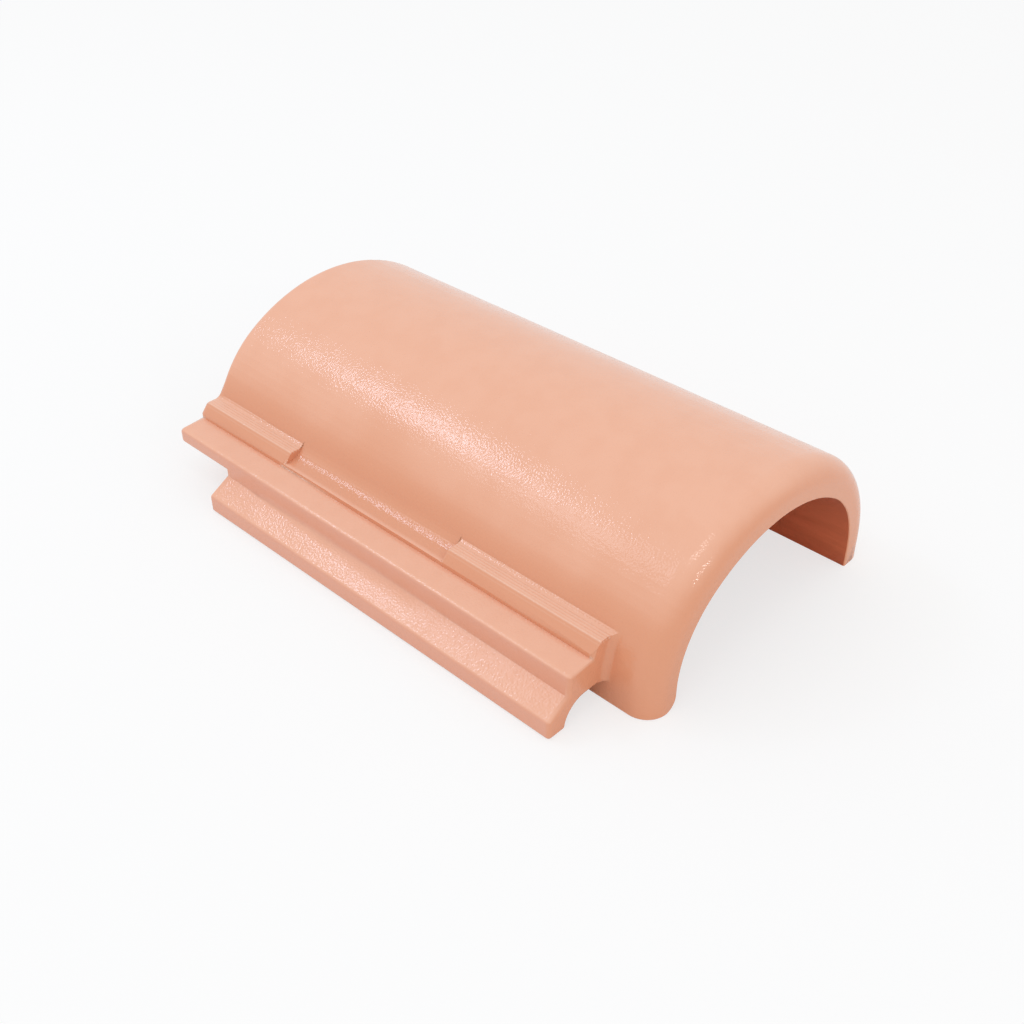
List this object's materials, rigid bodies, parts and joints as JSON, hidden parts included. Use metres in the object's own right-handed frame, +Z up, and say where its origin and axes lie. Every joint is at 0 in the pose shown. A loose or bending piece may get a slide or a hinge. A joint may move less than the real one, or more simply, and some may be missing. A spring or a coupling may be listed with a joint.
{
  "type": "glazed barrel hip end tile with side interlock",
  "caption": "Glazed clay barrel tile for a roof's hip or verge end, open at both ends, with a ribbed interlocking flange and hooked lip along one side.",
  "frame": {"origin": "on the floor under the middle of the tile's bounding box", "axes": "+Y runs along the barrel from its front end, which projects past the flange, to its back end; +Z is up; the interlocking flange is on the -X side"},
  "size_m": [0.209, 0.31, 0.0852],
  "materials": {
    "glazed_clay": "glossy salmon-pink glaze over fired clay"
  },
  "bodies": {
    "root": {"hip_end_tile": "glazed_clay"}
  },
  "joints": []
}
